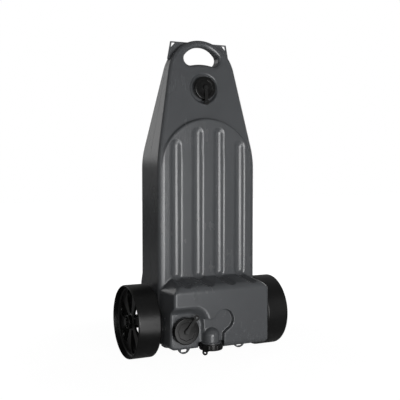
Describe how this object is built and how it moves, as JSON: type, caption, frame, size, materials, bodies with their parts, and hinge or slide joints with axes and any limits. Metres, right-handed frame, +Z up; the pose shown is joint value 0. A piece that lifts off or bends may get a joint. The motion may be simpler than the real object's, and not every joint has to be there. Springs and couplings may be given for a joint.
{
  "type": "portable waste water tank",
  "caption": "Upright wedge-shaped waste water tank on an axle with wheels, rounded grip at the top, screw-capped inlet, outlet and drain.",
  "frame": {"origin": "middle of the footprint on the floor, with the tank standing upright on its wheels and heel", "axes": "+Z up, -Y the front with the inlet, drain and top outlet, +X to the right seen from the front"},
  "size_m": [0.502, 0.2761, 0.9554],
  "materials": {
    "tank_plastic": "satin",
    "wheel_plastic": "matte",
    "cap_plastic": "satin",
    "strap_plastic": "satin",
    "seal_rubber": "matte",
    "steel": "zinc plated"
  },
  "bodies": {
    "tank": {"tank_shell": "tank_plastic", "axle": "steel", "left_washer": "steel", "right_washer": "steel", "left_axle_cap": "wheel_plastic", "right_axle_cap": "wheel_plastic"},
    "left_wheel": {"left_wheel": "wheel_plastic"},
    "right_wheel": {"right_wheel": "wheel_plastic"},
    "top_strap": {"top_tether": "strap_plastic"},
    "top_closure": {"top_cap": "cap_plastic", "top_seal": "seal_rubber", "top_rivet": "strap_plastic"},
    "inlet_strap": {"inlet_tether": "strap_plastic"},
    "inlet_closure": {"inlet_cap": "cap_plastic", "inlet_seal": "seal_rubber", "inlet_rivet": "strap_plastic"},
    "drain_strap": {"drain_tether": "strap_plastic"},
    "drain_closure": {"drain_cap": "cap_plastic", "drain_seal": "seal_rubber", "drain_rivet": "strap_plastic"}
  },
  "joints": [
    {"name": "left_wheel_spin", "type": "hinge", "parent": "tank", "child": "left_wheel", "pos_m": [-0.21, 0.0287, 0.1093], "axis": [1, 0, 0], "continuous": true},
    {"name": "right_wheel_spin", "type": "hinge", "parent": "tank", "child": "right_wheel", "pos_m": [0.21, 0.0287, 0.1093], "axis": [1, 0, 0], "continuous": true},
    {"name": "top_cap_lift", "type": "slide", "parent": "tank", "child": "top_strap", "axis": [0, -1, 0], "range_m": [0, 0.006]},
    {"name": "top_cap_turn", "type": "hinge", "parent": "top_strap", "child": "top_closure", "pos_m": [0, 0.0171, 0.808], "axis": [0, -1, 0], "range_deg": [0, 540]},
    {"name": "inlet_cap_lift", "type": "slide", "parent": "tank", "child": "inlet_strap", "axis": [0, -1, 0], "range_m": [0, 0.006]},
    {"name": "inlet_cap_turn", "type": "hinge", "parent": "inlet_strap", "child": "inlet_closure", "pos_m": [-0.114, -0.0929, 0.096], "axis": [0, -1, 0], "range_deg": [0, 540]},
    {"name": "drain_cap_lift", "type": "slide", "parent": "tank", "child": "drain_strap", "axis": [0, 0, -1], "range_m": [0, 0.006]},
    {"name": "drain_cap_turn", "type": "hinge", "parent": "drain_strap", "child": "drain_closure", "pos_m": [-0.032, -0.1029, 0.0557], "axis": [0, 0, -1], "range_deg": [0, 540]}
  ],
  "couplings": [
    {"joint": "top_cap_lift", "follows": "top_cap_turn", "m_per_rad": 0.0006366},
    {"joint": "inlet_cap_lift", "follows": "inlet_cap_turn", "m_per_rad": 0.0006366},
    {"joint": "drain_cap_lift", "follows": "drain_cap_turn", "m_per_rad": 0.0006366}
  ]
}
